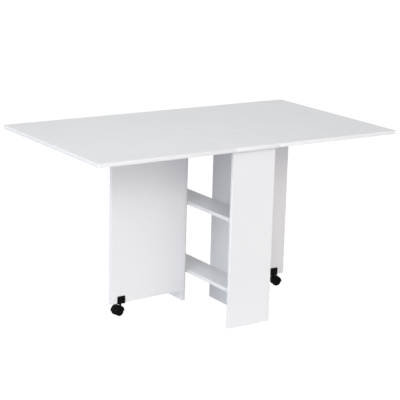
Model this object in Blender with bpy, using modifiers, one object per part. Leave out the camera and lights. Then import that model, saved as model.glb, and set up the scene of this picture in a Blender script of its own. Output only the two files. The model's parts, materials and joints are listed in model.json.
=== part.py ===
"""Gateleg table of white-faced board, with two drop leaves, two swinging gates and open shelves.

The frame: +X runs along the table from leaf to leaf, +Y to its back, +Z up.
The origin is on the floor under the middle of the top.  Lengths are metres.
Everything below the top is the same again after half a turn about Z, apart
from how far each gate and each caster happens to be swung.
"""
import math

import bmesh
import bpy
from mathutils import Matrix, Vector

# Driving dimensions
TABLE_LENGTH = 1.400
TABLE_WIDTH = 0.800
TABLE_HEIGHT = 0.736
BOARD = 0.015              # thickness of every board
FIT = 0.0003               # clearance where two pieces touch

CENTRE_WIDTH = 0.200       # fixed middle strip of the top
SEAM = 0.0012              # gap between the middle strip and a leaf
CORNER_RADIUS = 0.005      # outer corners of the leaves, in plan
ARRIS = 0.0006             # eased edges of every board

UPRIGHT_WIDTH = 0.198
UPRIGHT_FACE = 0.3785      # outer face of an upright, from the centre
SIDE_FACE = 0.074          # outer face of a side panel, from the centre
PANEL_END = 0.004          # free end of a side panel, past the centre line
SHELF_TOPS = {"lower": 0.140, "upper": 0.431}

GATE_WIDTH = 0.360
GATE_BOTTOM = 0.0515
GATE_TOP_GAP = 0.008       # room for the leaf hinges' knuckles to pass over a gate
GATE_END_GAP = 0.002       # between a closed gate and its side panel
GATE_TURN = {"left": math.radians(182.5), "right": math.radians(-2.9)}

HINGE_LENGTH = 0.064
HINGE_REACH = 0.026        # from the pin to a plate's far edge
PLATE = 0.0012
KNUCKLE_RADIUS = 0.003
PIN_RADIUS = 0.0015
LEAF_HINGE_PLACE = 0.250   # from the centre line, along a seam
GATE_HINGE_HEIGHTS = {"lower": 0.150, "upper": 0.600}
SCREW_HOLE_RADIUS = 0.0023

DOWEL_RADIUS = 0.004
DOWEL_LENGTH = 0.028
DOWEL_IN_UPRIGHT = 0.010
DOWEL_SPACING = 0.064

BRACKET_WIDTH = 0.037      # channel that the caster hangs from
BRACKET_HEIGHT = 0.033
BRACKET_WALL = 0.0025
BRACKET_BASE = 0.0037
CASTER_FROM_END = 0.050    # stem to the free end of a gate
CASTER_TRAIL = 0.014       # stem to axle
CASTER_TURN = {"left": math.radians(193), "right": math.radians(-15)}
STEM_RADIUS = 0.0035
WHEEL_RADIUS = 0.020
WHEEL_WIDTH = 0.012
WEB_HALF = 0.0055          # half the thickness between the two wheels
HOOD_RADIUS = 0.0225
HOOD_WALL = 0.0015
AXLE_RADIUS = 0.0025

GLIDE_RADIUS = 0.0065
GLIDE_FROM_END = 0.018

# Derived sizes
TOP_UNDERSIDE = TABLE_HEIGHT - BOARD
UPRIGHT_INNER = UPRIGHT_FACE - BOARD
SIDE_INNER = SIDE_FACE - BOARD
PIN_OFFSET = KNUCKLE_RADIUS + FIT
PIN_HOLE_RADIUS = PIN_RADIUS + FIT
GATE_PIN_X = SIDE_FACE + PIN_OFFSET
GATE_PIN_Y = PANEL_END - GATE_END_GAP / 2
GATE_TOP = TOP_UNDERSIDE - GATE_TOP_GAP
GATE_NEAR = GATE_END_GAP / 2
GATE_MIDDLE = PIN_OFFSET + BOARD / 2
CASTER_ALONG = GATE_NEAR + GATE_WIDTH - CASTER_FROM_END
GLIDE_ALONG = GATE_NEAR + GATE_WIDTH - GLIDE_FROM_END
LEAF_PIN_Z = TOP_UNDERSIDE - PIN_OFFSET
SIDES = {"left": -1, "right": 1}
CLOSED_TURN = {"left": math.radians(270), "right": math.radians(90)}

ROUND_STEPS = 28
KNUCKLE_STEPS = 12
SMALL_STEPS = 8
PEG_STEPS = 16
HOOD_STEPS = 36
CUTTER_EXTRA = 0.002       # how far a cutter runs past what it cuts


def clear_scene():
    for item in list(bpy.data.objects):
        bpy.data.objects.remove(item, do_unlink=True)


def new_collection(name):
    collection = bpy.data.collections.new(name)
    bpy.context.scene.collection.children.link(collection)
    return collection


def material(name, colour, roughness, metallic=0.0):
    made = bpy.data.materials.new(name)
    made.use_nodes = True
    shader = made.node_tree.nodes["Principled BSDF"]
    shader.inputs["Base Color"].default_value = (*colour, 1.0)
    shader.inputs["Roughness"].default_value = roughness
    shader.inputs["Metallic"].default_value = metallic
    return made


# ---------------------------------------------------------------- placing and shaping

def place(name, mesh_data, finish=None, parent=None, matrix=None, group=None):
    """A mesh as a named object, put where the matrix says, under its parent."""
    made = bpy.data.objects.new(name, mesh_data)
    (group or PARTS).objects.link(made)
    if finish:
        mesh_data.materials.append(finish)
    made.parent = parent
    made.matrix_basis = matrix or Matrix.Identity(4)
    return made


def empty(name, matrix, parent=None):
    made = bpy.data.objects.new(name, None)
    made.empty_display_size = 0.05
    PARTS.objects.link(made)
    made.parent = parent
    made.matrix_basis = matrix
    return made


def box_mesh(low, high):
    """A box between two corners, as mesh data about its own frame."""
    low, high = Vector(low), Vector(high)
    shape = bmesh.new()
    bmesh.ops.create_cube(shape, size=1.0)
    bmesh.ops.scale(shape, vec=high - low, verts=shape.verts)
    bmesh.ops.translate(shape, vec=(low + high) / 2, verts=shape.verts)
    made = bpy.data.meshes.new("box")
    shape.to_mesh(made)
    shape.free()
    return made


def rod_mesh(radius, start, end, steps=ROUND_STEPS):
    """A solid cylinder from one point to another."""
    start, end = Vector(start), Vector(end)
    along = end - start
    shape = bmesh.new()
    bmesh.ops.create_cone(shape, cap_ends=True, segments=steps, radius1=radius,
                          radius2=radius, depth=along.length)
    turn = Vector((0, 0, 1)).rotation_difference(along).to_matrix().to_4x4()
    bmesh.ops.transform(shape, verts=shape.verts,
                        matrix=Matrix.Translation((start + end) / 2) @ turn)
    made = bpy.data.meshes.new("rod")
    shape.to_mesh(made)
    shape.free()
    return made


def combine(target, mesh_data, operation):
    """Cuts a mesh out of an object, or adds it, with a Boolean modifier."""
    tool = place(target.name + "_tool", mesh_data, parent=target, group=CUTTERS)
    tool.hide_render = True
    tool.display_type = "WIRE"
    step = target.modifiers.new(operation.title(), "BOOLEAN")
    step.operation = operation
    step.solver = "EXACT"
    step.object = tool


def cut(target, mesh_data):
    combine(target, mesh_data, "DIFFERENCE")


def add(target, mesh_data):
    combine(target, mesh_data, "UNION")


def shade_round(made, angle=30):
    made.data.shade_smooth()
    made.data.set_sharp_from_angle(angle=math.radians(angle))


def ease(made, width=ARRIS, segments=2):
    """Rounds an object's edges before anything is cut out of it."""
    step = made.modifiers.new("Ease", "BEVEL")
    step.width = width
    step.segments = segments
    step.limit_method = "ANGLE"
    step.angle_limit = math.radians(40)


# ---------------------------------------------------------------- boards

def board(name, low, high, parent=None):
    """A flat board between two corners, with eased edges."""
    low, high = Vector(low), Vector(high)
    middle = (low + high) / 2
    made = place(name, box_mesh(low - middle, high - middle), WHITE_BOARD, parent,
                 Matrix.Translation(middle))
    ease(made)
    return made


def round_outer_corners(made, side):
    """Rounds the two upright edges at a leaf's outer end."""
    shape = bmesh.new()
    shape.from_mesh(made.data)
    outer = [e for e in shape.edges
             if abs(e.verts[0].co.z - e.verts[1].co.z) > BOARD / 2
             and e.verts[0].co.x * side > 0]
    bmesh.ops.bevel(shape, geom=outer, offset=CORNER_RADIUS, segments=5,
                    affect="EDGES", profile=0.5)
    shape.to_mesh(made.data)
    shape.free()


def leaf_holder(side):
    """The empty on a leaf's hinge line, which its leaf and hinge plates hang from."""
    x = SIDES[side] * CENTRE_WIDTH / 2
    return empty(side + "_leaf_hinge_line", Matrix.Translation((x, 0, LEAF_PIN_Z)))


def build_top():
    """The fixed middle strip, and a leaf at each side of it."""
    half = TABLE_WIDTH / 2
    inner = CENTRE_WIDTH / 2 - SEAM / 2
    board("centre_top", (-inner, -half, TOP_UNDERSIDE), (inner, half, TABLE_HEIGHT))
    holders = {}
    for side, sign in SIDES.items():
        holders[side] = leaf_holder(side)
        near = sign * SEAM / 2
        far = sign * (TABLE_LENGTH / 2 - CENTRE_WIDTH / 2)
        made = board(side + "_leaf", (min(near, far), -half, PIN_OFFSET),
                     (max(near, far), half, PIN_OFFSET + BOARD), holders[side])
        round_outer_corners(made, sign)
    return holders


def build_carcass():
    """Two uprights across the ends, a half-depth panel at each side, and two shelves."""
    half = UPRIGHT_WIDTH / 2
    top = TOP_UNDERSIDE - FIT
    uprights = {
        "front": board("front_upright", (-half, -UPRIGHT_FACE, 0), (half, -UPRIGHT_INNER, top)),
        "back": board("back_upright", (-half, UPRIGHT_INNER, 0), (half, UPRIGHT_FACE, top)),
    }
    end = UPRIGHT_INNER - FIT
    board("left_side_panel", (-SIDE_FACE, PANEL_END, 0), (-SIDE_INNER, end, top))
    board("right_side_panel", (SIDE_INNER, -end, 0), (SIDE_FACE, -PANEL_END, top))
    shelves = {}
    reach = SIDE_INNER - FIT
    for level, height in SHELF_TOPS.items():
        shelves[level] = board(level + "_shelf", (-reach, -end, height - BOARD),
                               (reach, end, height))
    return uprights, shelves


def build_dowels(uprights, shelves):
    """Two wooden dowels hold each end of each shelf to its upright."""
    for level, shelf in shelves.items():
        height = SHELF_TOPS[level] - BOARD / 2
        for end, sign in (("front", -1), ("back", 1)):
            deep = sign * (UPRIGHT_INNER + DOWEL_IN_UPRIGHT)
            shallow = deep - sign * DOWEL_LENGTH
            for number, x in enumerate((-DOWEL_SPACING / 2, DOWEL_SPACING / 2), 1):
                pin = place(f"{level}_shelf_{end}_dowel_{number}",
                            rod_mesh(DOWEL_RADIUS, (0, shallow, 0), (0, deep, 0), PEG_STEPS),
                            BEECH, matrix=Matrix.Translation((x, 0, height)))
                ease(pin, 0.0008, 1)
                shade_round(pin)
                for bored in (uprights[end], shelf):
                    middle = bored.matrix_basis.translation
                    hole = rod_mesh(DOWEL_RADIUS + FIT,
                                    Vector((x, shallow - sign * FIT, height)) - middle,
                                    Vector((x, deep + sign * FIT, height)) - middle, PEG_STEPS)
                    cut(bored, hole)


def build_top_brackets():
    """A steel angle inside each upright holds the middle strip of the top down."""
    width, leg, steel = 0.040, 0.030, 0.002
    for end, sign in (("front", -1), ("back", 1)):
        turn = Matrix.Rotation(0 if sign < 0 else math.pi, 4, "Z")
        frame = Matrix.Translation((0, sign * (UPRIGHT_INNER - FIT), TOP_UNDERSIDE - FIT))
        made = place(end + "_top_bracket",
                     box_mesh((-width / 2, 0, -leg), (width / 2, steel, 0)), STEEL,
                     matrix=frame @ turn)
        add(made, box_mesh((-width / 2, steel / 2, -steel), (width / 2, leg, 0)))
        for x in (-width / 4, width / 4):
            middle = leg * 0.62
            cut(made, rod_mesh(SCREW_HOLE_RADIUS, (x, -CUTTER_EXTRA, -middle),
                               (x, steel + CUTTER_EXTRA, -middle), SMALL_STEPS))
            cut(made, rod_mesh(SCREW_HOLE_RADIUS, (x, middle, -steel - CUTTER_EXTRA),
                               (x, middle, CUTTER_EXTRA), SMALL_STEPS))


# ---------------------------------------------------------------- hinges

def hinge_plate(name, holder, matrix, direction, knuckles):
    """One plate of a butt hinge.

    In its frame the pin lies along Z, the plate reaches out along X and lies
    on a face at y = PIN_OFFSET.  knuckles are the stretches of the pin it holds.
    """
    inner = KNUCKLE_RADIUS + FIT
    back = PIN_OFFSET - FIT
    half = HINGE_LENGTH / 2

    def flat(near, far, low, high):
        xs = sorted((near * direction, far * direction))
        return box_mesh((xs[0], back - PLATE, low), (xs[1], back, high))

    made = place(name, flat(inner, HINGE_REACH, -half, half), STEEL, holder, matrix)
    for low, high in knuckles:
        add(made, flat(PIN_RADIUS / 2, inner + PLATE, low, high))
        add(made, rod_mesh(KNUCKLE_RADIUS, (0, 0, low), (0, 0, high), KNUCKLE_STEPS))
        cut(made, rod_mesh(PIN_HOLE_RADIUS, (0, 0, low - FIT), (0, 0, high + FIT), KNUCKLE_STEPS))
    x = direction * HINGE_REACH * 0.6
    for z in (-half * 0.66, 0.0, half * 0.66):
        cut(made, rod_mesh(SCREW_HOLE_RADIUS, (x, back - PLATE - CUTTER_EXTRA, z),
                           (x, back + CUTTER_EXTRA, z), SMALL_STEPS))
    return made


def hinge(names, fixed, moving):
    """A butt hinge: a fixed plate, a moving plate and the pin through both.

    fixed and moving are (holder, matrix, direction) for each plate.
    """
    third = HINGE_LENGTH / 6
    half = HINGE_LENGTH / 2
    outer = ((-half, -third - FIT / 2), (third + FIT / 2, half))
    middle = ((-third + FIT / 2, third - FIT / 2),)
    hinge_plate(names[0], *fixed, outer)
    hinge_plate(names[1], *moving, middle)
    pin = place(names[2], rod_mesh(PIN_RADIUS, (0, 0, -half), (0, 0, half), KNUCKLE_STEPS), STEEL,
                fixed[0], fixed[1])
    shade_round(pin)


def build_leaf_hinges(leaf_holders):
    """Two hinges under each seam, their plates flat against the undersides."""
    lie_down = Matrix.Rotation(math.radians(90), 4, "X")
    for side, sign in SIDES.items():
        holder = leaf_holders[side]
        for end, along in (("front", -1), ("back", 1)):
            local = Matrix.Translation((0, along * LEAF_HINGE_PLACE, 0)) @ lie_down
            still = holder.matrix_basis @ local
            stem = f"{side}_leaf_{end}_hinge"
            hinge((stem + "_centre_plate", stem + "_leaf_plate", stem + "_pin"),
                  (None, still, -sign), (holder, local, sign))


def build_gate_hinges(side, holder):
    """Two hinges on the outer faces of a gate and of the side panel it hangs on."""
    closed = holder.matrix_basis.copy()
    closed = Matrix.Translation(closed.translation) @ Matrix.Rotation(CLOSED_TURN[side], 4, "Z")
    for level, height in GATE_HINGE_HEIGHTS.items():
        local = Matrix.Translation((0, 0, height))
        stem = f"{side}_gate_{level}_hinge"
        hinge((stem + "_panel_plate", stem + "_gate_plate", stem + "_pin"),
              (None, closed @ local, -1), (holder, local, 1))


# ---------------------------------------------------------------- gates and casters

def turned(name, profile, finish, parent, matrix):
    """A closed profile of (radius, height) points, spun about Z."""
    shape = bmesh.new()
    points = [shape.verts.new((r, 0, z)) for r, z in profile]
    for one, other in zip(points, points[1:] + points[:1]):
        shape.edges.new((one, other))
    outline = bpy.data.meshes.new("profile")
    shape.to_mesh(outline)
    shape.free()
    made = place(name, outline, finish, parent, matrix)
    spin = made.modifiers.new("Spin", "SCREW")
    spin.steps = ROUND_STEPS
    spin.render_steps = ROUND_STEPS
    spin.use_merge_vertices = True
    spin.merge_threshold = 0.00001
    spin.use_smooth_shade = True
    return made


def build_gate(side):
    """A gate hung on its side panel, with the glide that carries its leaf."""
    sign = SIDES[side]
    axis = (sign * GATE_PIN_X, -sign * GATE_PIN_Y, 0)
    turn = Matrix.Rotation(GATE_TURN[side], 4, "Z")
    holder = empty(side + "_gate_hinge_line", Matrix.Translation(axis) @ turn)
    gate = board(side + "_gate", (GATE_NEAR, PIN_OFFSET, GATE_BOTTOM),
                 (GATE_NEAR + GATE_WIDTH, PIN_OFFSET + BOARD, GATE_TOP), holder)
    build_gate_hinges(side, holder)
    bored = gate.matrix_basis.translation
    stem_top = GATE_BOTTOM + 0.011
    cut(gate, rod_mesh(STEM_RADIUS + FIT,
                       Vector((CASTER_ALONG, GATE_MIDDLE, GATE_BOTTOM - CUTTER_EXTRA)) - bored,
                       Vector((CASTER_ALONG, GATE_MIDDLE, stem_top + FIT)) - bored, PEG_STEPS))
    plug, depth = 0.004, 0.012
    cut(gate, rod_mesh(plug + FIT,
                       Vector((GLIDE_ALONG, GATE_MIDDLE, GATE_TOP - depth - FIT)) - bored,
                       Vector((GLIDE_ALONG, GATE_MIDDLE, GATE_TOP + CUTTER_EXTRA)) - bored, PEG_STEPS))
    glide = place(side + "_gate_glide",
                  rod_mesh(GLIDE_RADIUS, (0, 0, FIT), (0, 0, GATE_TOP_GAP - FIT), PEG_STEPS), NYLON,
                  holder, Matrix.Translation((GLIDE_ALONG, GATE_MIDDLE, GATE_TOP)))
    ease(glide, 0.0012, 2)
    add(glide, rod_mesh(plug, (0, 0, -depth), (0, 0, GATE_TOP_GAP / 2), PEG_STEPS))
    shade_round(glide)
    build_caster(side, holder, stem_top)


def build_caster(side, gate_holder, stem_top):
    """The channel on a gate's bottom edge, and the hooded twin-wheel caster under it."""
    half = BRACKET_WIDTH / 2
    outer = BOARD / 2 + FIT + BRACKET_WALL
    base_top = GATE_BOTTOM - FIT
    base = base_top - BRACKET_BASE
    spot = Matrix.Translation((CASTER_ALONG, GATE_MIDDLE, 0))
    channel = place(side + "_caster_bracket",
                    box_mesh((-half, -outer, base), (half, outer, base + BRACKET_HEIGHT)),
                    BLACK, gate_holder, spot)
    ease(channel, 0.0012, 2)
    inside = BOARD / 2 + FIT
    cut(channel, box_mesh((-half - CUTTER_EXTRA, -inside, base_top),
                          (half + CUTTER_EXTRA, inside, base + BRACKET_HEIGHT + CUTTER_EXTRA)))
    cut(channel, rod_mesh(STEM_RADIUS + FIT, (0, 0, base - CUTTER_EXTRA),
                          (0, 0, base_top + CUTTER_EXTRA), PEG_STEPS))

    stem_foot = 0.027
    stem = place(side + "_caster_stem", rod_mesh(STEM_RADIUS, (0, 0, stem_foot), (0, 0, stem_top), PEG_STEPS),
                 STEEL, gate_holder, spot)
    ease(stem, 0.0006, 1)
    shade_round(stem)

    swing = CASTER_TURN[side] - GATE_TURN[side]
    swivel = empty(side + "_caster_swivel", spot @ Matrix.Rotation(swing, 4, "Z"), gate_holder)
    build_hood(side, swivel, base - 0.0006, stem_foot)
    axle_frame = Matrix.Translation((CASTER_TRAIL, 0, WHEEL_RADIUS)) @ Matrix.Rotation(
        math.radians(-90), 4, "X")
    reach = WEB_HALF + WHEEL_WIDTH
    axle = place(side + "_caster_axle", rod_mesh(AXLE_RADIUS, (0, 0, -reach), (0, 0, reach), PEG_STEPS),
                 STEEL, swivel, axle_frame)
    shade_round(axle)
    for number, facing in ((1, 0), (2, math.pi)):
        build_wheel(f"{side}_caster_wheel_{number}", swivel,
                    axle_frame @ Matrix.Rotation(facing, 4, "X"))


def build_hood(side, swivel, top, stem_foot):
    """The fork of a twin-wheel caster: a middle web, a hood over both wheels, a boss."""
    axle = Vector((CASTER_TRAIL, 0, WHEEL_RADIUS))
    wide = WEB_HALF + WHEEL_WIDTH + 0.0008
    across = Vector((0, wide, 0))
    hood = place(side + "_caster_hood", rod_mesh(HOOD_RADIUS, axle - across, axle + across, HOOD_STEPS),
                 BLACK, swivel)
    ease(hood, 0.0010, 2)
    past = across + Vector((0, CUTTER_EXTRA, 0))
    cut(hood, rod_mesh(HOOD_RADIUS - HOOD_WALL, axle - past, axle + past, HOOD_STEPS))
    drop = 0.002
    cut(hood, box_mesh((-0.02, -wide - CUTTER_EXTRA, -0.01),
                       (0.07, wide + CUTTER_EXTRA, WHEEL_RADIUS - drop)))
    web = Vector((0, WEB_HALF - 0.0004, 0))
    add(hood, rod_mesh(HOOD_RADIUS - HOOD_WALL / 2, axle - web, axle + web, HOOD_STEPS))
    cut(hood, box_mesh((-0.02, -wide - CUTTER_EXTRA, -0.01),
                       (0.07, wide + CUTTER_EXTRA, WHEEL_RADIUS - WHEEL_RADIUS * 0.55)))
    add(hood, rod_mesh(WEB_HALF, (0, 0, stem_foot - 0.006), (0, 0, top)))
    cut(hood, rod_mesh(STEM_RADIUS + FIT, (0, 0, stem_foot - FIT), (0, 0, top + CUTTER_EXTRA), PEG_STEPS))
    cut(hood, rod_mesh(AXLE_RADIUS + FIT, axle - past, axle + past, PEG_STEPS))
    shade_round(hood)


def build_wheel(name, swivel, matrix):
    """One wheel, turned about the axle: tread outside, dished on its outer face."""
    inner = WEB_HALF + 0.0005
    outer = inner + WHEEL_WIDTH - 0.0008
    bore = AXLE_RADIUS + FIT
    edge = 0.0015
    dish = 0.0012
    turned(name, [
        (WHEEL_RADIUS - edge, outer),
        (WHEEL_RADIUS, outer - edge),
        (WHEEL_RADIUS, inner + edge),
        (WHEEL_RADIUS - edge, inner),
        (bore, inner),
        (bore, outer - dish),
        (WHEEL_RADIUS - 3 * edge, outer - dish),
        (WHEEL_RADIUS - 2 * edge, outer),
    ], BLACK, swivel, matrix)


clear_scene()
PARTS = new_collection("gateleg_table")
CUTTERS = new_collection("cutters")
WHITE_BOARD = material("white_board", (0.86, 0.865, 0.875), 0.38)
BEECH = material("beech", (0.55, 0.36, 0.20), 0.60)
STEEL = material("zinc_plated_steel", (0.62, 0.62, 0.60), 0.35, 1.0)
BLACK = material("black_plastic", (0.015, 0.015, 0.016), 0.40)
NYLON = material("white_nylon", (0.80, 0.80, 0.78), 0.45)

leaf_holders = build_top()
build_leaf_hinges(leaf_holders)
carcass_uprights, carcass_shelves = build_carcass()
build_dowels(carcass_uprights, carcass_shelves)
build_top_brackets()
for table_side in SIDES:
    build_gate(table_side)
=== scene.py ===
import json
import math

import bmesh
import bpy
from mathutils import Matrix, Vector


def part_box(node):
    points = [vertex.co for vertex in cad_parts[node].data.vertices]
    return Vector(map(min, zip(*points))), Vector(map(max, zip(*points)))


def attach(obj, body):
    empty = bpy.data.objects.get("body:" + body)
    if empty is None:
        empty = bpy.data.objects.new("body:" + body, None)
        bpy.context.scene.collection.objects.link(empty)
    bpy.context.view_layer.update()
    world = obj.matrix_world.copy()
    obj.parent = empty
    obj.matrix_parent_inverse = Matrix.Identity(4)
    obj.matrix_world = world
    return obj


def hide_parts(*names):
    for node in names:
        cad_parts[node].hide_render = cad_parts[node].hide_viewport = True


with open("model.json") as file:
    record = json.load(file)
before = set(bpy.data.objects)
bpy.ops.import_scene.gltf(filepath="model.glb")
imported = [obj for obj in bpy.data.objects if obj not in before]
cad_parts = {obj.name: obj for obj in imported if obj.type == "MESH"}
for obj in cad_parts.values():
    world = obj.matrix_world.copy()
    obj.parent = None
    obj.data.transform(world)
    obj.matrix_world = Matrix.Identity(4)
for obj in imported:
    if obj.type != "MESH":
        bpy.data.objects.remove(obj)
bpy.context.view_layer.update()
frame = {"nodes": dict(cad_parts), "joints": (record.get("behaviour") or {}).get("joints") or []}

bpy.ops.object.select_all(action="DESELECT")
scene = bpy.context.scene
nodes = frame["nodes"]
joints = {joint["name"]: joint for joint in frame["joints"]}
SIDES = ("left", "right")


# ------------------------------------------------------------------ camera
# It stands about five metres off the table's front left corner, at the eye
# height of someone tall standing up, and looks down on it with a long lens.
camera_data = bpy.data.cameras.new("camera")
camera_data.sensor_width = 36.0
camera_data.lens = 117.76
camera = bpy.data.objects.new("camera", camera_data)
scene.collection.objects.link(camera)
heading, tilt, roll = 0.5850, 0.2519, 0.0270
camera.matrix_world = (Matrix.Translation((-2.9079, -4.3933, 1.7853))
                       @ Matrix.Rotation(-heading, 4, "Z")
                       @ Matrix.Rotation(math.pi / 2 - tilt, 4, "X")
                       @ Matrix.Rotation(roll, 4, "Z"))
scene.camera = camera


# ------------------------------------------------------------------ light and floor
# A white studio: four broad soft boxes stand low round the table, one round
# lamp shines from over the camera and one from over the left leaf.  A paper
# floor throws light up under the top, and is itself seen as nearly plain white.
scene.view_settings.view_transform = "Standard"
world = bpy.data.worlds.new("studio")
scene.world = world
world.use_nodes = True
studio = world.node_tree
studio.nodes.clear()
toward = studio.nodes.new("ShaderNodeTexCoord")


def soft_box(facing, tightness, colour):
    """A patch of light centred on one direction: its colour, fading to black all round."""
    dot = studio.nodes.new("ShaderNodeVectorMath")
    dot.operation = "DOT_PRODUCT"
    dot.inputs[1].default_value = Vector(facing).normalized()
    front = studio.nodes.new("ShaderNodeMath")
    front.operation = "MAXIMUM"
    front.inputs[1].default_value = 0.0
    fade = studio.nodes.new("ShaderNodeMath")
    fade.operation = "POWER"
    fade.inputs[1].default_value = tightness
    tinted = studio.nodes.new("ShaderNodeVectorMath")
    tinted.operation = "SCALE"
    tinted.inputs[0].default_value = colour
    studio.links.new(toward.outputs["Generated"], dot.inputs[0])
    studio.links.new(dot.outputs["Value"], front.inputs[0])
    studio.links.new(front.outputs["Value"], fade.inputs[0])
    studio.links.new(fade.outputs["Value"], tinted.inputs["Scale"])
    return tinted.outputs["Vector"]


boxes = [soft_box((-0.80, -0.60, 0.25), 2, (1.25, 1.41, 1.54)),
         soft_box((-0.15, -0.98, 0.20), 4, (1.86, 1.61, 1.42)),
         soft_box((0.55, 0.80, 0.12), 4, (1.03, 1.04, 1.05)),
         soft_box((-0.85, 0.50, 0.15), 2, (1.03, 1.02, 1.01))]
for box_light in boxes[1:]:
    both = studio.nodes.new("ShaderNodeVectorMath")
    both.operation = "ADD"
    studio.links.new(boxes[0], both.inputs[0])
    studio.links.new(box_light, both.inputs[1])
    boxes[0] = both.outputs["Vector"]
shed = studio.nodes.new("ShaderNodeBackground")
white_wall = studio.nodes.new("ShaderNodeBackground")
white_wall.inputs["Color"].default_value = (1.0, 1.0, 1.0, 1.0)
white_wall.inputs["Strength"].default_value = 1.06
ray = studio.nodes.new("ShaderNodeLightPath")
either = studio.nodes.new("ShaderNodeMixShader")
world_out = studio.nodes.new("ShaderNodeOutputWorld")
studio.links.new(boxes[0], shed.inputs["Color"])
studio.links.new(ray.outputs["Is Camera Ray"], either.inputs["Fac"])
studio.links.new(shed.outputs["Background"], either.inputs[1])
studio.links.new(white_wall.outputs["Background"], either.inputs[2])
studio.links.new(either.outputs["Shader"], world_out.inputs["Surface"])


def disk_lamp(name, place, aim, size, energy):
    """A round lamp at one point, turned towards another."""
    lamp_data = bpy.data.lights.new(name, "AREA")
    lamp_data.shape = "DISK"
    lamp_data.size = size
    lamp_data.energy = energy
    lamp = bpy.data.objects.new(name, lamp_data)
    scene.collection.objects.link(lamp)
    lamp.visible_camera = False
    lamp.location = place
    lamp.rotation_euler = (Vector(aim) - lamp.location).to_track_quat("-Z", "Y").to_euler()


disk_lamp("front_lamp", (-2.2, -4.6, 3.2), (0.0, 0.0, 0.4), 1.5, 33.4)
disk_lamp("top_lamp", (-1.1, -0.7, 2.6), (0.0, 0.0, 0.6), 1.2, 8.56)

bpy.ops.mesh.primitive_plane_add(size=80.0)
floor = bpy.context.object
floor.name = "floor"
paper = bpy.data.materials.new("floor_paper")
paper.use_nodes = True
paper_tree = paper.node_tree
paper_shader = paper_tree.nodes["Principled BSDF"]
paper_shader.inputs["Base Color"].default_value = (0.78, 0.785, 0.82, 1.0)
paper_shader.inputs["Roughness"].default_value = 1.0
paper_shader.inputs["Specular IOR Level"].default_value = 0.0
plain_white = paper_tree.nodes.new("ShaderNodeEmission")
plain_white.inputs["Color"].default_value = (1.0, 1.0, 1.0, 1.0)
plain_white.inputs["Strength"].default_value = 1.08
paper_ray = paper_tree.nodes.new("ShaderNodeLightPath")
paper_share = paper_tree.nodes.new("ShaderNodeMath")
paper_share.operation = "MULTIPLY"
paper_share.inputs[1].default_value = 0.93
paper_mix = paper_tree.nodes.new("ShaderNodeMixShader")
paper_tree.links.new(paper_ray.outputs["Is Camera Ray"], paper_share.inputs[0])
paper_tree.links.new(paper_share.outputs["Value"], paper_mix.inputs["Fac"])
paper_tree.links.new(paper_shader.outputs["BSDF"], paper_mix.inputs[1])
paper_tree.links.new(plain_white.outputs["Emission"], paper_mix.inputs[2])
paper_tree.links.new(paper_mix.outputs["Shader"], paper_tree.nodes["Material Output"].inputs["Surface"])
floor.data.materials.append(paper)


# ------------------------------------------------------------------ the top
# Three boards of 15 mm chipboard faced in white melamine, edged all round in
# white tape: a fixed strip in the middle and a leaf hinged on either side.
def group_of(name, inputs, outputs):
    """An empty shader node group with the sockets named."""
    group = bpy.data.node_groups.new(name, "ShaderNodeTree")
    for label, kind, value in inputs:
        socket = group.interface.new_socket(label, in_out="INPUT", socket_type=kind)
        socket.default_value = value
    for label, kind in outputs:
        group.interface.new_socket(label, in_out="OUTPUT", socket_type=kind)
    return group, group.nodes.new("NodeGroupInput"), group.nodes.new("NodeGroupOutput")


def link(tree, start, end):
    """Links two sockets, each given as a node and the socket's name."""
    tree.links.new(start[0].outputs[start[1]], end[0].inputs[end[1]])


def noise(tree, scale, detail, roughness):
    """A noise texture node."""
    made = tree.nodes.new("ShaderNodeTexNoise")
    made.inputs["Scale"].default_value = scale
    made.inputs["Detail"].default_value = detail
    made.inputs["Roughness"].default_value = roughness
    return made


def spread_over(tree, low, high, out_low, out_high):
    """A node that maps one range of values onto another."""
    made = tree.nodes.new("ShaderNodeMapRange")
    for label, value in (("From Min", low), ("From Max", high), ("To Min", out_low), ("To Max", out_high)):
        made.inputs[label].default_value = value
    return made


def make_moulded_grain():
    """The fine pearl of a pressed or moulded surface, and the faint marks of handling."""
    vector, value = "NodeSocketVector", "NodeSocketFloat"
    group, given, taken = group_of(
        "moulded_grain",
        [("Vector", vector, (0, 0, 0)), ("Grain Scale", value, 900.0), ("Gloss Low", value, 0.34),
         ("Gloss High", value, 0.44)],
        [("Height", value), ("Roughness", value), ("Mottle", value)])
    fine = noise(group, 900.0, 2.0, 0.55)
    hands = noise(group, 7.0, 4.0, 0.62)
    cloud = noise(group, 2.3, 2.0, 0.5)
    gloss = spread_over(group, 0.32, 0.68, 0.34, 0.44)
    mottle = spread_over(group, 0.30, 0.70, 0.0, 1.0)
    for texture in (fine, hands, cloud):
        link(group, (given, "Vector"), (texture, "Vector"))
    link(group, (given, "Grain Scale"), (fine, "Scale"))
    link(group, (given, "Gloss Low"), (gloss, "To Min"))
    link(group, (given, "Gloss High"), (gloss, "To Max"))
    link(group, (hands, "Fac"), (gloss, "Value"))
    link(group, (cloud, "Fac"), (mottle, "Value"))
    link(group, (fine, "Fac"), (taken, "Height"))
    link(group, (gloss, "Result"), (taken, "Roughness"))
    link(group, (mottle, "Result"), (taken, "Mottle"))
    return group


moulded_grain = make_moulded_grain()


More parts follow.
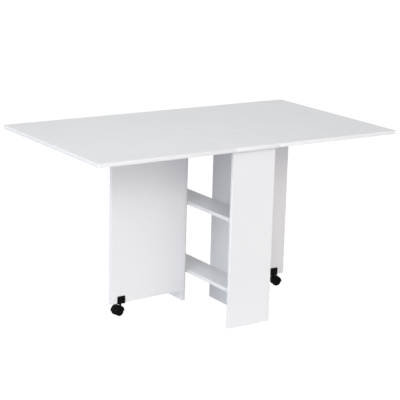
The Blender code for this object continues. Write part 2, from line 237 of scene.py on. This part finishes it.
def grained(name, light, dark, gloss, grain_scale, bump_strength, metallic=0.0):
    """A material with moulded grain: two near colours, a gloss range and a grain size."""
    made = bpy.data.materials.new(name)
    made.use_nodes = True
    tree = made.node_tree
    shader = tree.nodes["Principled BSDF"]
    shader.inputs["Metallic"].default_value = metallic
    where = tree.nodes.new("ShaderNodeTexCoord")
    grain = tree.nodes.new("ShaderNodeGroup")
    grain.node_tree = moulded_grain
    grain.inputs["Grain Scale"].default_value = grain_scale
    grain.inputs["Gloss Low"].default_value = gloss[0]
    grain.inputs["Gloss High"].default_value = gloss[1]
    tint = tree.nodes.new("ShaderNodeMix")
    tint.data_type = "RGBA"
    tint.inputs["A"].default_value = (*dark, 1.0)
    tint.inputs["B"].default_value = (*light, 1.0)
    bump = tree.nodes.new("ShaderNodeBump")
    bump.inputs["Strength"].default_value = bump_strength
    bump.inputs["Distance"].default_value = 0.00004
    link(tree, (where, "Object"), (grain, "Vector"))
    link(tree, (grain, "Mottle"), (tint, "Factor"))
    tree.links.new(tint.outputs["Result"], shader.inputs["Base Color"])
    link(tree, (grain, "Roughness"), (shader, "Roughness"))
    link(tree, (grain, "Height"), (bump, "Height"))
    link(tree, (bump, "Normal"), (shader, "Normal"))
    return made


melamine = grained("white_melamine", (0.800, 0.802, 0.812), (0.780, 0.783, 0.796),
                   (0.36, 0.44), 750.0, 0.35)
edging = grained("white_edge_tape", (0.812, 0.814, 0.822), (0.795, 0.798, 0.808),
                 (0.40, 0.48), 1400.0, 0.25)


def local_box(node, place):
    """The corners of a CAD node in a frame of its own."""
    back = place.inverted()
    points = [back @ vertex.co for vertex in nodes[node].data.vertices]
    low = Vector([min(p[axis] for p in points) for axis in range(3)])
    high = Vector([max(p[axis] for p in points) for axis in range(3)])
    return low, high


def edit(piece, mode):
    """Edit mode on one piece with nothing selected."""
    bpy.context.view_layer.objects.active = piece
    bpy.ops.object.mode_set(mode="EDIT")
    bpy.ops.mesh.select_mode(type=mode)
    bpy.ops.mesh.select_all(action="DESELECT")


def pick(piece, part, test):
    """Selects the faces, edges or vertices of the piece in edit mode that pass a test."""
    shape = bmesh.from_edit_mesh(piece.data)
    for item in getattr(shape, part):
        item.select_set(bool(test(item)))
    shape.select_flush_mode()
    bmesh.update_edit_mesh(piece.data)


def finish_piece(piece, body, place, smooth_angle=32):
    """Leaves edit mode, shades the piece, puts its place in its mesh and hangs it on a body."""
    if bpy.context.mode != "OBJECT":
        bpy.ops.object.mode_set(mode="OBJECT")
    bpy.ops.object.select_all(action="DESELECT")
    piece.select_set(True)
    bpy.context.view_layer.objects.active = piece
    bpy.ops.object.shade_smooth_by_angle(angle=math.radians(smooth_angle))
    piece.data.transform(place)
    piece.data.update()
    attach(piece, body)
    piece.select_set(False)


def block(name, low, high):
    """A box between two corners, with its place and size in its mesh."""
    bpy.ops.mesh.primitive_cube_add(size=1.0, location=(low + high) / 2)
    piece = bpy.context.object
    piece.name = name
    piece.scale = high - low
    bpy.ops.object.transform_apply(location=True, rotation=True, scale=True)
    return piece


def board(node, body, place=Matrix.Identity(4), rounded_end=0):
    """A faced board, banded all round: its arrises eased and a hairline where tape meets face."""
    arris, glue_line, glue_depth, corner_radius = 0.0008, 0.00012, 0.00015, 0.005
    low, high = local_box(node, place)
    size = high - low
    thin = min(range(3), key=lambda axis: size[axis])
    piece = block(node + "_board", low, high)
    piece.data.materials.append(melamine)
    piece.data.materials.append(edging)
    edit(piece, "EDGE")
    if rounded_end:
        middle = (low.x + high.x) / 2
        pick(piece, "edges", lambda e: abs(e.verts[0].co[thin] - e.verts[1].co[thin]) > size[thin] / 2
             and (e.verts[0].co.x - middle) * rounded_end > 0)
        bpy.ops.mesh.bevel(offset=corner_radius, segments=8, affect="EDGES")
        bpy.ops.mesh.select_all(action="DESELECT")
    bpy.ops.mesh.edges_select_sharp(sharpness=math.radians(60))
    bpy.ops.mesh.bevel(offset=arris, segments=3, affect="EDGES")
    bpy.ops.mesh.select_mode(type="FACE")
    pick(piece, "faces", lambda f: abs(f.normal[thin]) > 0.999)
    bpy.ops.mesh.inset(thickness=arris / 2, depth=0.0)
    bpy.ops.mesh.inset(thickness=glue_line, depth=-glue_depth)
    bpy.ops.mesh.inset(thickness=glue_line, depth=glue_depth)
    shape = bmesh.from_edit_mesh(piece.data)
    for face in shape.faces:
        face.material_index = 0 if face.select else 1
    bmesh.update_edit_mesh(piece.data)
    finish_piece(piece, body, place)
    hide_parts(node)


board("centre_top", "carcass")
board("left_leaf", "left_leaf", rounded_end=-1)
board("right_leaf", "right_leaf", rounded_end=1)


# ------------------------------------------------------------------ the carcass
# An upright board across each end, a half-depth panel on each side and two
# shelves between the uprights, all in the same faced board.
for node in ("front_upright", "back_upright", "left_side_panel", "right_side_panel",
             "upper_shelf", "lower_shelf"):
    board(node, "carcass")


# ------------------------------------------------------------------ the gates
# A tall board hung on the free edge of each side panel.  It swings out on two
# hinges to hold its leaf up, and folds back into the panel's plane.
def gate_frame(side):
    """The frame of an open gate: its origin on the hinge line, X out along the gate."""
    mesh = nodes[side + "_gate"].data
    ends = [[mesh.vertices[i].co for i in edge.vertices] for edge in mesh.edges]
    first, last = max(ends, key=lambda pair: (pair[1] - pair[0]).length)
    hinge = Vector((*joints[side + "_gate_swing"]["pos_m"][:2], 0.0))
    out = (last - first).to_2d()
    away = (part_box(side + "_gate")[0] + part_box(side + "_gate")[1]) / 2 - hinge
    if out.dot(away.to_2d()) < 0:
        out.negate()
    return Matrix.Translation(hinge) @ Matrix.Rotation(math.atan2(out.y, out.x), 4, "Z")


gate_frames = {side: gate_frame(side) for side in SIDES}
for side in SIDES:
    board(side + "_gate", side + "_gate", gate_frames[side])


# ------------------------------------------------------------------ hinges
# Butt hinges pressed from thin steel and zinc plated: two under each seam of
# the top and two on each gate.  Each plate is rolled round a loose pin and
# lies flat on its board, under three countersunk screws.
zinc = grained("zinc_plate", (0.66, 0.67, 0.69), (0.58, 0.585, 0.60), (0.26, 0.40), 600.0, 0.30, 1.0)
bright_zinc = grained("screw_zinc", (0.70, 0.70, 0.71), (0.61, 0.61, 0.63), (0.20, 0.32), 1500.0, 0.20, 1.0)
hinge_plate_low, hinge_plate_high = local_box(
    "left_gate_lower_hinge_gate_plate", gate_frames["left"])
hinge_length = (hinge_plate_high - hinge_plate_low).z
hinge_reach = hinge_plate_high.x
hinge_back = hinge_plate_high.y          # from the pin's middle to the plates' backs
sheet = 0.0012
knuckle_radius = 0.0030
pin_radius = 0.0015
clearance = 0.0003
screw_spacing = hinge_length * 0.33
screw_heights = (-screw_spacing, 0.0, screw_spacing)
screw_line = hinge_reach * 0.6
screw_hole_mouth, screw_hole_throat = 0.0034, 0.0020
plate_corner = 0.0035
flat_sheet_angle = 12                    # degrees, so that a plate's flat stays flat


def bar(name, start_radius, end_radius, start, end, sides=32):
    """A round bar from one point to another, straight or tapered."""
    start, end = Vector(start), Vector(end)
    along = end - start
    bpy.ops.mesh.primitive_cone_add(vertices=sides, radius1=start_radius, radius2=end_radius,
                                    depth=along.length, location=(start + end) / 2,
                                    rotation=along.to_track_quat("Z", "Y").to_euler())
    piece = bpy.context.object
    piece.name = name
    bpy.ops.object.transform_apply(location=True, rotation=True, scale=True)
    return piece


def apply_step(piece, step):
    """Applies one modifier of a piece."""
    if bpy.context.mode != "OBJECT":
        bpy.ops.object.mode_set(mode="OBJECT")
    bpy.ops.object.select_all(action="DESELECT")
    piece.select_set(True)
    bpy.context.view_layer.objects.active = piece
    bpy.ops.object.modifier_apply(modifier=step.name)


def join_or_cut(piece, tool, operation):
    """Joins a second shape onto a piece or cuts it out, and clears it away."""
    if bpy.context.mode != "OBJECT":
        bpy.ops.object.mode_set(mode="OBJECT")
    step = piece.modifiers.new(operation.title(), "BOOLEAN")
    step.operation = operation
    step.solver = "EXACT"
    step.object = tool
    apply_step(piece, step)
    bpy.data.objects.remove(tool, do_unlink=True)


def ease(piece, width, segments=2, angle=38):
    """Rounds a piece's remaining sharp edges."""
    step = piece.modifiers.new("Ease", "BEVEL")
    step.width = width
    step.segments = segments
    step.limit_method = "ANGLE"
    step.angle_limit = math.radians(angle)
    apply_step(piece, step)


def copy_of(pattern, name):
    """A copy of a pattern piece with a mesh of its own."""
    piece = bpy.data.objects.new(name, pattern.data.copy())
    scene.collection.objects.link(piece)
    return piece


def hinge_plate(name, knuckles):
    """One plate of a hinge whose pin lies on Z: it reaches along +X, its back towards +Y."""
    half = hinge_length / 2
    front = hinge_back - sheet
    plate = block(name, Vector((knuckle_radius + clearance, front, -half)),
                  Vector((hinge_reach, hinge_back, half)))
    edit(plate, "EDGE")
    pick(plate, "edges", lambda e: min(v.co.x for v in e.verts) > hinge_reach - sheet
         and abs(e.verts[0].co.y - e.verts[1].co.y) > sheet / 2)
    bpy.ops.mesh.bevel(offset=plate_corner, segments=6, affect="EDGES")
    bpy.ops.object.mode_set(mode="OBJECT")
    for low, high in knuckles:
        roll_end = knuckle_radius + 2 * sheet
        tab = block("tab", Vector((0.0, front, low)), Vector((roll_end, hinge_back, high)))
        join_or_cut(plate, tab, "UNION")
        join_or_cut(plate, bar("roll", knuckle_radius, knuckle_radius, (0, 0, low), (0, 0, high), 40),
                    "UNION")
        bore = pin_radius + clearance
        join_or_cut(plate, bar("bore", bore, bore, (0, 0, low - sheet), (0, 0, high + sheet)),
                    "DIFFERENCE")
        gap = block("gap", Vector((pin_radius, front - clearance, low - sheet)),
                    Vector((knuckle_radius + sheet, front, high + sheet)))
        join_or_cut(plate, gap, "DIFFERENCE")
    for z in screw_heights:
        join_or_cut(plate, bar("hole", screw_hole_mouth, screw_hole_throat,
                               (screw_line, front - clearance, z),
                               (screw_line, hinge_back + clearance, z)), "DIFFERENCE")
    edit(plate, "VERT")
    bpy.ops.mesh.select_all(action="SELECT")
    bpy.ops.mesh.remove_doubles(threshold=0.00002)
    bpy.ops.mesh.dissolve_limited(angle_limit=math.radians(0.5))
    ease(plate, 0.00015)
    edit(plate, "VERT")
    bpy.ops.mesh.select_all(action="SELECT")
    bpy.ops.mesh.dissolve_degenerate(threshold=0.000005)
    bpy.ops.object.mode_set(mode="OBJECT")
    plate.data.materials.append(zinc)
    return plate


def cut_cross(screw, across, top, deep):
    """Cuts the cross recess into a screw's head."""
    thin = across * 0.16
    for x, y in ((across / 2, thin), (thin, across / 2)):
        join_or_cut(screw, block("cross", Vector((-x, -y, top - deep)), Vector((x, y, top + deep))),
                    "DIFFERENCE")


def grow_shank(screw, radius, length):
    """Pulls a screw's shank and point out of the face now picked under its head."""
    bpy.ops.mesh.extrude_region_move(TRANSFORM_OT_translate={"value": (0, 0, -length)})
    bpy.ops.mesh.extrude_region_move(TRANSFORM_OT_translate={"value": (0, 0, -2 * radius)})
    bpy.ops.transform.resize(value=(0.12, 0.12, 1.0))
    bpy.ops.object.mode_set(mode="OBJECT")


def countersunk_screw(name, finish):
    """A screw with a flat cross head, its face at the origin and its point towards -Z."""
    head, shank, depth = 0.0031, 0.0016, 0.0015
    screw = bar(name, shank, head, (0, 0, -depth), (0, 0, 0))
    edit(screw, "FACE")
    pick(screw, "faces", lambda f: f.normal.z > 0.9)
    bpy.ops.mesh.inset(thickness=head * 0.3, depth=0.00018)
    pick(screw, "faces", lambda f: f.normal.z < -0.9)
    grow_shank(screw, shank, 0.0085)
    cut_cross(screw, 0.0034, 0.00018, 0.0008)
    screw.data.materials.append(finish)
    return screw


half_knuckle = hinge_length / 6
pattern_fixed = hinge_plate("pattern_fixed", (
    (-hinge_length / 2, -half_knuckle - clearance / 2), (half_knuckle + clearance / 2, hinge_length / 2)))
pattern_moving = hinge_plate("pattern_moving", (
    (-half_knuckle + clearance / 2, half_knuckle - clearance / 2),))
pattern_pin = bar("pattern_pin", pin_radius, pin_radius, (0, 0, -hinge_length / 2), (0, 0, hinge_length / 2))
ease(pattern_pin, 0.0004, 3)
pattern_pin.data.materials.append(zinc)
pattern_screw = countersunk_screw("pattern_screw", bright_zinc)
other_way = Matrix.Rotation(math.pi, 4, "Y")
head_out = Matrix.Rotation(math.pi / 2, 4, "X")


def lay_plate(node, pattern, hinge_frame, body):
    """Lays one hinge plate and its three screws in a hinge's frame, in place of its node."""
    plate = copy_of(pattern, node + "_rolled")
    finish_piece(plate, body, hinge_frame, smooth_angle=flat_sheet_angle)
    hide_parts(node)
    for number, z in enumerate(screw_heights, 1):
        screw = copy_of(pattern_screw, f"{node}_screw_{number}")
        seat = Matrix.Translation((screw_line, hinge_back - sheet, z)) @ head_out
        finish_piece(screw, body, hinge_frame @ seat)


def lay_pin(node, hinge_frame, body):
    """Lays a hinge's pin."""
    pin = copy_of(pattern_pin, node + "_turned")
    finish_piece(pin, body, hinge_frame)
    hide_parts(node)


for side in SIDES:
    for end in ("front", "back"):
        stem = f"{side}_leaf_{end}_hinge"
        low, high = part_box(stem + "_pin")
        frame_of_hinge = Matrix.Translation((low + high) / 2) @ Matrix.Rotation(math.pi / 2, 4, "X")
        outward = Matrix.Identity(4) if side == "right" else other_way
        inward = other_way if side == "right" else Matrix.Identity(4)
        lay_plate(stem + "_centre_plate", pattern_fixed, frame_of_hinge @ inward, "carcass")
        lay_plate(stem + "_leaf_plate", pattern_moving, frame_of_hinge @ outward, side + "_leaf")
        lay_pin(stem + "_pin", frame_of_hinge, "carcass")
folded_turn = {"left": math.radians(270), "right": math.radians(90)}
for side in SIDES:
    for level in ("lower", "upper"):
        stem = f"{side}_gate_{level}_hinge"
        low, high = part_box(stem + "_pin")
        place_of_pin = Matrix.Translation((low + high) / 2)
        height = Matrix.Translation((0, 0, (low.z + high.z) / 2))
        folded = place_of_pin @ Matrix.Rotation(folded_turn[side], 4, "Z")
        lay_plate(stem + "_panel_plate", pattern_fixed, folded @ other_way, "carcass")
        lay_plate(stem + "_gate_plate", pattern_moving, gate_frames[side] @ height, side + "_gate")
        lay_pin(stem + "_pin", folded, "carcass")


# ------------------------------------------------------------------ top brackets
# A zinc-plated steel angle in the corner between each upright and the middle
# strip of the top, with two round-headed screws in each leg.
angle_steel = 0.002
angle_bend = 0.0035
angle_corner = 0.006
angle_hole = 0.0023


def round_headed_screw(name, finish, head, shank, rise, length):
    """A screw with a domed cross head standing on the origin, its point towards -Z."""
    rim, steps = rise * 0.25, 6
    screw = bar(name, head, head, (0, 0, 0), (0, 0, rim))
    edit(screw, "FACE")
    pick(screw, "faces", lambda f: f.normal.z > 0.9)
    for step in range(steps - 1):
        before, after = (math.pi / 2 * part / steps for part in (step, step + 1))
        bpy.ops.mesh.inset(thickness=head * (math.cos(before) - math.cos(after)),
                           depth=(rise - rim) * (math.sin(after) - math.sin(before)))
    pick(screw, "faces", lambda f: f.normal.z < -0.9)
    bpy.ops.mesh.inset(thickness=head - shank, depth=0.0)
    grow_shank(screw, shank, length)
    cut_cross(screw, head * 1.15, rise, rise * 0.55)
    screw.data.materials.append(finish)
    return screw


def steel_angle(name, width, leg):
    """An angle bent from strip: its bend on X, one leg down -Z, the other out along +Y."""
    bpy.ops.mesh.primitive_plane_add(size=1.0, location=(0.0, leg / 2, 0.0))
    angle = bpy.context.object
    angle.name = name
    angle.scale = (width, leg, 1.0)
    bpy.ops.object.transform_apply(location=True, rotation=True, scale=True)
    edit(angle, "EDGE")
    pick(angle, "edges", lambda e: max(v.co.y for v in e.verts) < leg * 0.01)
    bpy.ops.mesh.extrude_region_move(TRANSFORM_OT_translate={"value": (0, 0, -leg)})
    bpy.ops.mesh.select_mode(type="VERT")
    pick(angle, "verts", lambda v: v.co.y > leg * 0.99 or v.co.z < -leg * 0.99)
    bpy.ops.mesh.bevel(offset=angle_corner, segments=6, affect="VERTICES")
    bpy.ops.mesh.select_mode(type="EDGE")
    pick(angle, "edges", lambda e: max(v.co.length_squared - v.co.x ** 2 for v in e.verts) < 1e-9)
    bpy.ops.mesh.bevel(offset=angle_bend, segments=6, affect="EDGES")
    bpy.ops.object.mode_set(mode="OBJECT")
    wall = angle.modifiers.new("Wall", "SOLIDIFY")
    wall.thickness = angle_steel
    wall.offset = -1.0
    apply_step(angle, wall)
    return angle


round_screw = round_headed_screw("pattern_round_screw", bright_zinc, 0.0040, 0.0018, 0.0020, 0.0085)
for end, half_turn in (("front", 0.0), ("back", math.pi)):
    node = end + "_top_bracket"
    low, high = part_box(node)
    corner_y = low.y if end == "front" else high.y
    frame_of_angle = Matrix.Translation((0.0, corner_y, high.z)) @ Matrix.Rotation(half_turn, 4, "Z")
    width, leg = high.x - low.x, high.z - low.z
    angle = steel_angle(node + "_bent", width, leg)
    hole_line = leg * 0.62
    for x in (-width / 4, width / 4):
        join_or_cut(angle, bar("hole", angle_hole, angle_hole, (x, -sheet, -hole_line),
                               (x, angle_steel + sheet, -hole_line)), "DIFFERENCE")
        join_or_cut(angle, bar("hole", angle_hole, angle_hole, (x, hole_line, -angle_steel - sheet),
                               (x, hole_line, sheet)), "DIFFERENCE")
    ease(angle, 0.0002)
    angle.data.materials.append(zinc)
    finish_piece(angle, "carcass", frame_of_angle, smooth_angle=20)
    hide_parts(node)
    into_upright = Matrix.Rotation(-math.pi / 2, 4, "X")
    into_top = Matrix.Rotation(math.pi, 4, "X")
    for number, x in enumerate((-width / 4, width / 4), 1):
        for leg_name, seat in (
                ("upright", Matrix.Translation((x, angle_steel, -hole_line)) @ into_upright),
                ("top", Matrix.Translation((x, hole_line, -angle_steel)) @ into_top)):
            screw = copy_of(round_screw, f"{node}_{leg_name}_screw_{number}")
            finish_piece(screw, "carcass", frame_of_angle @ seat)


# ------------------------------------------------------------------ shelf dowels
# Plain beech dowels, 10 mm of each in the upright and 18 mm in the shelf's
# end, two to a joint.  Nothing of them shows once the table is together.
beech = grained("beech_dowel", (0.60, 0.41, 0.24), (0.50, 0.32, 0.17), (0.55, 0.65), 400.0, 0.5)


def repaint(node, finish):
    """Gives a CAD node that keeps its own shape its finish."""
    finishes = nodes[node].data.materials
    finishes.clear()
    finishes.append(finish)


for node in nodes:
    if "_dowel_" in node:
        repaint(node, beech)


# ------------------------------------------------------------------ gate glides
# A white nylon button on each gate's top edge, its plug pressed into the board.
# The leaf rests on its domed head and slides over it as the gate swings.
nylon = grained("white_nylon", (0.78, 0.78, 0.76), (0.74, 0.74, 0.72), (0.38, 0.46), 1200.0, 0.2)
button_round = 0.0036
button_ledge = 0.0004
plug_taper = 0.8
for side in SIDES:
    node = side + "_gate_glide"
    low, high = local_box(node, gate_frames[side])
    middle = (low + high) / 2
    button_radius = (high.x - low.x) / 2
    button_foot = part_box(side + "_gate")[1].z + clearance
    glide = bar(node + "_button", button_radius, button_radius,
                (middle.x, middle.y, button_foot), (middle.x, middle.y, high.z), 40)
    edit(glide, "EDGE")
    pick(glide, "edges", lambda e: min(v.co.z for v in e.verts) > high.z - clearance)
    bpy.ops.mesh.bevel(offset=button_round, segments=8, affect="EDGES")
    bpy.ops.mesh.select_mode(type="FACE")
    pick(glide, "faces", lambda f: f.normal.z < -0.9)
    bpy.ops.mesh.inset(thickness=button_ledge, depth=0.0)
    bpy.ops.mesh.inset(thickness=button_radius * 0.38, depth=0.0)
    bpy.ops.mesh.extrude_region_move(TRANSFORM_OT_translate={"value": (0, 0, low.z - button_foot)})
    bpy.ops.transform.resize(value=(plug_taper, plug_taper, 1.0))
    glide.data.materials.append(nylon)
    finish_piece(glide, side + "_gate", gate_frames[side])
    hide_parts(node)


# ------------------------------------------------------------------ caster channels
# A black channel pushed up over each gate's bottom edge, 50 mm from its free
# end, and screwed to it through both cheeks.  The caster's stem passes through
# its base.
black_nylon = grained("black_nylon", (0.0042, 0.0042, 0.0044), (0.0030, 0.0030, 0.0032),
                      (0.42, 0.54), 1100.0, 0.35)
black_nylon.node_tree.nodes["Principled BSDF"].inputs["Specular IOR Level"].default_value = 0.07
channel_wall = 0.0025
cheek_corner = 0.0045
base_round = 0.0018
cheek_screw_inset = 0.009
black_screw = round_headed_screw("pattern_black_screw", black_nylon, 0.0034, 0.0017, 0.0017, 0.0070)
for side in SIDES:
    node = side + "_caster_bracket"
    low, high = local_box(node, gate_frames[side])
    board_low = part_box(side + "_gate")[0].z
    channel = block(node + "_channel", low, high)
    edit(channel, "EDGE")
    pick(channel, "edges", lambda e: min(v.co.z for v in e.verts) > (low.z + high.z) / 2
         and abs(e.verts[0].co.y - e.verts[1].co.y) > channel_wall)
    bpy.ops.mesh.bevel(offset=cheek_corner, segments=8, affect="EDGES")
    bpy.ops.mesh.select_all(action="DESELECT")
    pick(channel, "edges", lambda e: max(v.co.z for v in e.verts) < low.z + clearance)
    bpy.ops.mesh.bevel(offset=base_round, segments=5, affect="EDGES")
    bpy.ops.object.mode_set(mode="OBJECT")
    inside = block("inside", Vector((low.x - sheet, low.y + channel_wall, board_low - clearance)),
                   Vector((high.x + sheet, high.y - channel_wall, high.z + sheet)))
    join_or_cut(channel, inside, "DIFFERENCE")
    stem_low, stem_high = local_box(side + "_caster_stem", gate_frames[side])
    stem_hole = (stem_high.x - stem_low.x) / 2 + clearance
    centre = (stem_low + stem_high) / 2
    join_or_cut(channel, bar("hole", stem_hole, stem_hole, (centre.x, centre.y, low.z - sheet),
                             (centre.x, centre.y, board_low + sheet)), "DIFFERENCE")
    ease(channel, 0.0003)
    channel.data.materials.append(black_nylon)
    finish_piece(channel, side + "_gate", gate_frames[side])
    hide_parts(node)
    cheek_screw_height = (board_low + high.z) / 2
    for cheek, y, tip in (("outer", low.y, math.pi / 2), ("inner", high.y, -math.pi / 2)):
        for number, x in enumerate((low.x + cheek_screw_inset, high.x - cheek_screw_inset), 1):
            screw = copy_of(black_screw, f"{node}_{cheek}_screw_{number}")
            seat = Matrix.Translation((x, y, cheek_screw_height)) @ Matrix.Rotation(tip, 4, "X")
            finish_piece(screw, side + "_gate", gate_frames[side] @ seat)


# ------------------------------------------------------------------ caster stems
# A plated steel pin, pressed up into the gate's bottom edge through the channel,
# on which the caster turns.
for side in SIDES:
    repaint(side + "_caster_stem", zinc)


# ------------------------------------------------------------------ caster hoods
# The fork of each twin-wheel caster, moulded in black nylon in one piece: a
# mudguard over both wheels, a web between them, and a neck for the stem.
hood_wall = 0.0016
hood_rim_round = 0.0011
hood_skirt = 0.002                       # how far the rim hangs below the axle
web_half = 0.0051
neck_radius = 0.0046
collar_radius = 0.0060
barrel_foot, barrel_head = 0.021, 0.0375     # heights of the web's barrel round the stem,
collar_foot, collar_head = 0.0365, 0.0405    # of the flare above it,
neck_foot = 0.0385                           # and of the neck that rises from the flare
over_all = 0.060                             # higher than any of it
web_cut = 0.45                               # of the wheel's radius, where the web stops


def caster_frame(side):
    """A caster's frame, its origin on the floor under the stem and X out over the axle, and its trail."""
    stem_low, stem_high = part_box(side + "_caster_stem")
    axle_low, axle_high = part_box(side + "_caster_axle")
    stem_at = (stem_low + stem_high) / 2
    out = (axle_low + axle_high) / 2 - stem_at
    foot = Matrix.Translation((stem_at.x, stem_at.y, 0.0))
    return foot @ Matrix.Rotation(math.atan2(out.y, out.x), 4, "Z"), out.xy.length


caster_frames, caster_trail = {}, 0.0
for side in SIDES:
    caster_frames[side], caster_trail = caster_frame(side)
wheel_low, wheel_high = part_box("left_caster_wheel_1")
wheel_radius = (wheel_high - wheel_low).z / 2
hood_high = local_box("left_caster_hood", caster_frames["left"])[1]
hood_half = hood_high.y
hood_radius = hood_high.x - caster_trail
hub = Vector((caster_trail, 0.0, wheel_radius))


def across(y):
    """A vector along the axle."""
    return Vector((0.0, y, 0.0))


def all_below(height):
    """A block round everything of a caster that is below one height."""
    return block("below", Vector((-0.05, -0.05, -0.05)), Vector((0.08, 0.05, height)))


def build_hood():
    """The hood about its own stem, its wheels out along +X."""
    hood = bar("pattern_hood", hood_radius, hood_radius, hub - across(hood_half), hub + across(hood_half), 96)
    ease(hood, hood_rim_round, 4)
    hollow_radius = hood_radius - hood_wall
    join_or_cut(hood, all_below(wheel_radius - hood_skirt), "DIFFERENCE")
    join_or_cut(hood, bar("hollow", hollow_radius, hollow_radius, hub - across(2 * hood_half),
                          hub + across(2 * hood_half), 96), "DIFFERENCE")
    web_radius = hood_radius - hood_wall / 2
    web = bar("web", web_radius, web_radius, hub - across(web_half), hub + across(web_half), 96)
    join_or_cut(web, all_below(wheel_radius * web_cut), "DIFFERENCE")
    join_or_cut(hood, web, "UNION")
    barrel = bar("barrel", web_half, web_half, (0, 0, barrel_foot), (0, 0, barrel_head))
    join_or_cut(hood, barrel, "UNION")
    join_or_cut(hood, bar("collar", collar_radius, neck_radius, (0, 0, collar_foot), (0, 0, collar_head)),
                "UNION")
    join_or_cut(hood, bar("neck", neck_radius, neck_radius, (0, 0, neck_foot), (0, 0, hood_high.z)), "UNION")
    stem_low, stem_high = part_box("left_caster_stem")
    stem_hole = (stem_high.x - stem_low.x) / 2 + clearance
    join_or_cut(hood, bar("hole", stem_hole, stem_hole, (0, 0, stem_low.z - clearance),
                          (0, 0, over_all)), "DIFFERENCE")
    axle_low, axle_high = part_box("left_caster_axle")
    axle_hole = (axle_high - axle_low).z / 2 + clearance
    join_or_cut(hood, bar("hole", axle_hole, axle_hole, hub - across(hood_half), hub + across(hood_half)),
                "DIFFERENCE")
    ease(hood, 0.0003, 2, 50)
    hood.data.materials.append(black_nylon)
    return hood


pattern_hood = build_hood()
for side in SIDES:
    node = side + "_caster_hood"
    hood = copy_of(pattern_hood, node + "_moulded")
    finish_piece(hood, side + "_caster", caster_frames[side])
    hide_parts(node)


# ------------------------------------------------------------------ caster wheels and axles
# Two wheels of harder black nylon on one steel axle, which ends blind inside
# their hubs.  Each wheel has rounded shoulders, a sunk outer face, a domed hub
# and six dimples round it.
tyre_nylon = grained("tyre_nylon", (0.0050, 0.0050, 0.0053), (0.0034, 0.0034, 0.0036),
                     (0.48, 0.62), 1400.0, 0.45)
tyre_nylon.node_tree.nodes["Principled BSDF"].inputs["Specular IOR Level"].default_value = 0.07
wheel_inner = 0.0060
wheel_outer = 0.0172
axle_end = wheel_outer - 0.0040
outer_shoulder, inner_shoulder = 0.0026, 0.0012
rim_steps = ((0.0008, 0.0), (0.0005, -0.0014), (0.0085, 0.0))    # inwards and up, to the sunk face
hub_steps = ((0.0005, 0.0010), (0.0014, 0.0003), (0.0022, 0.0002))
dimple_circle = 0.0105
dimple_floor, dimple_mouth = 0.0021, 0.0026                      # radii at its two ends,
dimple_below, dimple_above = 0.0030, 0.0010                      # which lie this far from the rim's side


def build_wheel():
    """One wheel, standing on Z: its outer face is its upper one."""
    wheel = bar("pattern_wheel", wheel_radius, wheel_radius, (0, 0, wheel_inner), (0, 0, wheel_outer), 72)
    edit(wheel, "EDGE")
    pick(wheel, "edges", lambda e: abs(e.verts[0].co.z - e.verts[1].co.z) < clearance
         and min(v.co.z for v in e.verts) > wheel_outer - clearance)
    bpy.ops.mesh.bevel(offset=outer_shoulder, segments=6, affect="EDGES")
    bpy.ops.mesh.select_all(action="DESELECT")
    pick(wheel, "edges", lambda e: abs(e.verts[0].co.z - e.verts[1].co.z) < clearance
         and max(v.co.z for v in e.verts) < wheel_inner + clearance)
    bpy.ops.mesh.bevel(offset=inner_shoulder, segments=4, affect="EDGES")
    bpy.ops.mesh.select_mode(type="FACE")
    pick(wheel, "faces", lambda f: f.normal.z > 0.999)
    for width, rise in rim_steps + hub_steps:
        bpy.ops.mesh.inset(thickness=width, depth=rise)
    bpy.ops.object.mode_set(mode="OBJECT")
    for number in range(6):
        turn = Matrix.Rotation(number * math.pi / 3, 3, "Z")
        dimple = bar("dimple", dimple_floor, dimple_mouth,
                     turn @ Vector((dimple_circle, 0.0, wheel_outer - dimple_below)),
                     turn @ Vector((dimple_circle, 0.0, wheel_outer + dimple_above)), 24)
        join_or_cut(wheel, dimple, "DIFFERENCE")
    bore = axle_radius + clearance
    join_or_cut(wheel, bar("bore", bore, bore, (0, 0, 0), (0, 0, axle_end + clearance)), "DIFFERENCE")
    wheel.data.materials.append(tyre_nylon)
    return wheel


axle_low, axle_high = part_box("left_caster_axle")
axle_radius = (axle_high - axle_low).z / 2
pattern_wheel = build_wheel()
pattern_axle = bar("pattern_axle", axle_radius, axle_radius, (0, 0, -axle_end), (0, 0, axle_end))
ease(pattern_axle, 0.0004, 3)
pattern_axle.data.materials.append(zinc)
for side in SIDES:
    lie_across = caster_frames[side] @ Matrix.Translation(hub) @ Matrix.Rotation(-math.pi / 2, 4, "X")
    axle = copy_of(pattern_axle, side + "_caster_axle_turned")
    finish_piece(axle, side + "_caster", lie_across)
    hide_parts(side + "_caster_axle")
    for number, facing in ((1, 0.0), (2, math.pi)):
        node = f"{side}_caster_wheel_{number}"
        wheel = copy_of(pattern_wheel, node + "_moulded")
        finish_piece(wheel, f"{side}_wheel_{number}",
                     lie_across @ Matrix.Rotation(facing, 4, "X"))
        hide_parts(node)


# ------------------------------------------------------------------ the end
# The pattern pieces are put away.
for pattern in (pattern_fixed, pattern_moving, pattern_pin, pattern_screw, round_screw, black_screw,
                pattern_hood, pattern_wheel, pattern_axle):
    bpy.data.objects.remove(pattern, do_unlink=True)
